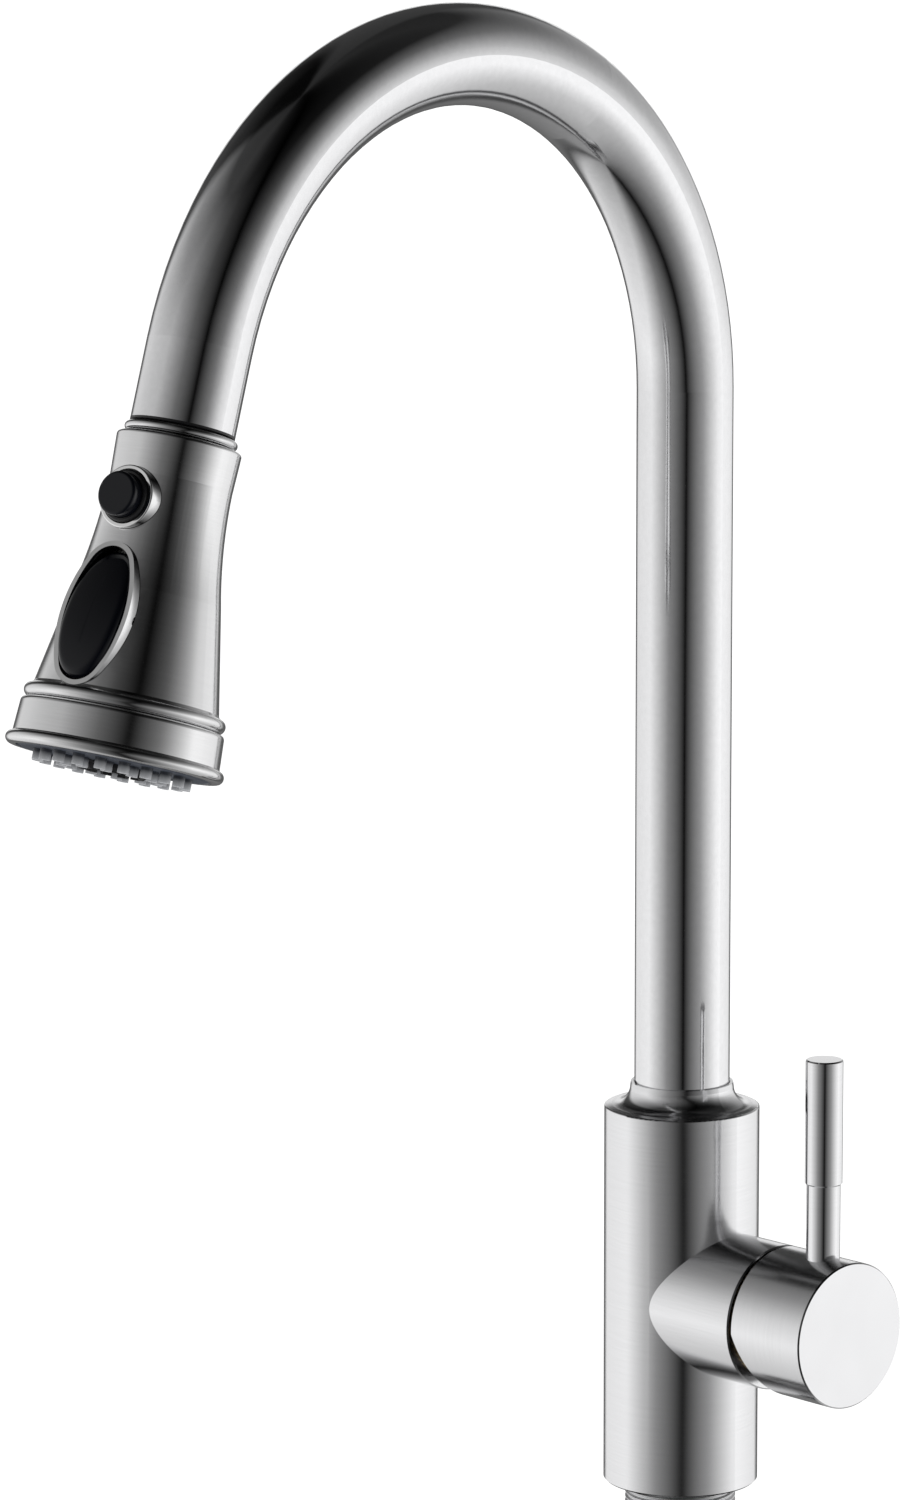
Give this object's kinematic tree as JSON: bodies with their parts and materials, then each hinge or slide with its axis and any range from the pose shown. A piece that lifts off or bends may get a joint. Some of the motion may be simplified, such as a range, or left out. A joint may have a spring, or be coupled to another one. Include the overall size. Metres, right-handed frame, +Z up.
{
  "type": "pull-down kitchen faucet",
  "caption": "Single-lever gooseneck kitchen faucet with a pull-down spray head, a side-mounted handle, a swivelling spout and a threaded deck shank.",
  "frame": {"origin": "centre of the base's underside, on the worktop", "axes": "+Z up, +X along the cartridge and handle axis away from the column, spout over -Y, turned 6.2 degrees towards +X at rest"},
  "size_m": [0.0978, 0.2885, 0.5185],
  "materials": {
    "column_steel": "fine brushed",
    "spout_steel": "polished with a satin sheen",
    "handle_steel": "fine brushed, end face turned",
    "lever_steel": "polished",
    "head_steel": "satin brushed",
    "bright_trim": "bright polished",
    "hardware_steel": "plain zinc plated",
    "brass": "turned brass",
    "black_gloss": "moulded gloss",
    "black_plastic": "moulded matte",
    "face_plastic": "moulded, dark grey",
    "white_plastic": "moulded acetal",
    "rubber": "matte rubber",
    "nozzle_silicone": "translucent grey silicone",
    "ceramic": "ground alumina ceramic",
    "hose_braid": "woven nylon braid",
    "spring_steel": "drawn wire"
  },
  "bodies": {
    "column": {"faucet_body": "column_steel", "base_gasket": "rubber", "base_plate": "hardware_steel", "threaded_shank": "hardware_steel", "deck_rubber_washer": "rubber", "deck_steel_washer": "hardware_steel", "mounting_nut": "hardware_steel", "jack_screws": "hardware_steel", "waterway_block": "brass", "cartridge_housing": "white_plastic", "cartridge_seals": "rubber", "ceramic_disc_fixed": "ceramic", "cartridge_lid": "black_plastic", "retaining_nut": "brass", "swivel_bush": "white_plastic", "swivel_washer": "hardware_steel", "spout_slip_ring": "white_plastic", "hose_in_body": "hose_braid", "hose_tail_ferrule": "hardware_steel", "hose_tail_nipple": "brass"},
    "mix_carrier": {"cartridge_guide": "white_plastic", "pivot_pin": "hardware_steel"},
    "valve_disc": {"ceramic_disc_moving": "ceramic", "disc_carrier": "white_plastic"},
    "handle": {"cartridge_stem": "brass", "handle_cap": "handle_steel", "handle_adapter": "brass", "set_screw": "hardware_steel", "lever_rod": "lever_steel", "lever_grip": "lever_steel"},
    "spout": {"spout_tube": "spout_steel", "spout_spigot": "brass", "swivel_circlip": "hardware_steel", "docking_sleeve": "black_plastic", "hose_in_spout": "hose_braid"},
    "hose_end": {"hose_pull_end": "hose_braid", "hose_ferrule": "hardware_steel", "hose_coupling": "brass"},
    "spray_head": {"dock_cone": "black_plastic", "neck_ring": "head_steel", "head_shell": "head_steel", "face_ring": "head_steel", "spray_face": "face_plastic", "nozzle_pad": "nozzle_silicone", "aerator_insert": "black_plastic", "aerator_screen": "hardware_steel", "waterway_core": "white_plastic", "filter_washer": "rubber", "check_valve": "white_plastic", "button_bezel": "bright_trim", "button_collar": "black_plastic", "pause_spring": "spring_steel", "rocker_bezel": "bright_trim", "rocker_pin": "hardware_steel"},
    "pause_key": {"pause_button": "black_gloss", "pause_plunger": "black_plastic"},
    "rocker_key": {"mode_rocker": "black_gloss"},
    "diverter": {"diverter_barrel": "white_plastic"}
  },
  "joints": [
    {"name": "spout_swivel", "type": "hinge", "parent": "column", "child": "spout", "pos_m": [0, 0, 0.1175], "axis": [0, 0, 1], "continuous": true},
    {"name": "spray_pull", "type": "slide", "parent": "spout", "child": "hose_end", "axis": [0.0327, -0.3006, -0.9532], "range_m": [0, 0.3]},
    {"name": "head_turn", "type": "hinge", "parent": "hose_end", "child": "spray_head", "pos_m": [0.02247, -0.20684, 0.3288], "axis": [0.0327, -0.3006, -0.9532], "continuous": true},
    {"name": "handle_mix", "type": "hinge", "parent": "column", "child": "mix_carrier", "pos_m": [0.03, 0, 0.0562], "axis": [1, 0, 0], "range_deg": [-50, 50]},
    {"name": "handle_lift", "type": "hinge", "parent": "mix_carrier", "child": "handle", "pos_m": [0.027, 0, 0.0562], "axis": [0, 1, 0], "range_deg": [0, 20]},
    {"name": "valve_slide", "type": "slide", "parent": "mix_carrier", "child": "valve_disc", "axis": [0, 0, 1], "range_m": [0, 0.00285]},
    {"name": "pause_press", "type": "slide", "parent": "spray_head", "child": "pause_key", "axis": [-0.2318, 0.9254, -0.2998], "range_m": [0, 0.002], "stiffness_N_per_m": 700, "deforming": ["pause_spring"]},
    {"name": "mode_rock", "type": "hinge", "parent": "spray_head", "child": "rocker_key", "pos_m": [0.02838, -0.23965, 0.28248], "axis": [0.9722, 0.2308, -0.0395], "range_deg": [0, 12]},
    {"name": "diverter_turn", "type": "hinge", "parent": "spray_head", "child": "diverter", "pos_m": [0.02643, -0.23222, 0.27808], "axis": [-0.9722, -0.2308, 0.0395], "range_deg": [0, 20]}
  ],
  "couplings": [
    {"joint": "valve_slide", "follows": "handle_lift", "m_per_rad": 0.008035},
    {"joint": "diverter_turn", "follows": "mode_rock", "ratio": 1.5}
  ]
}
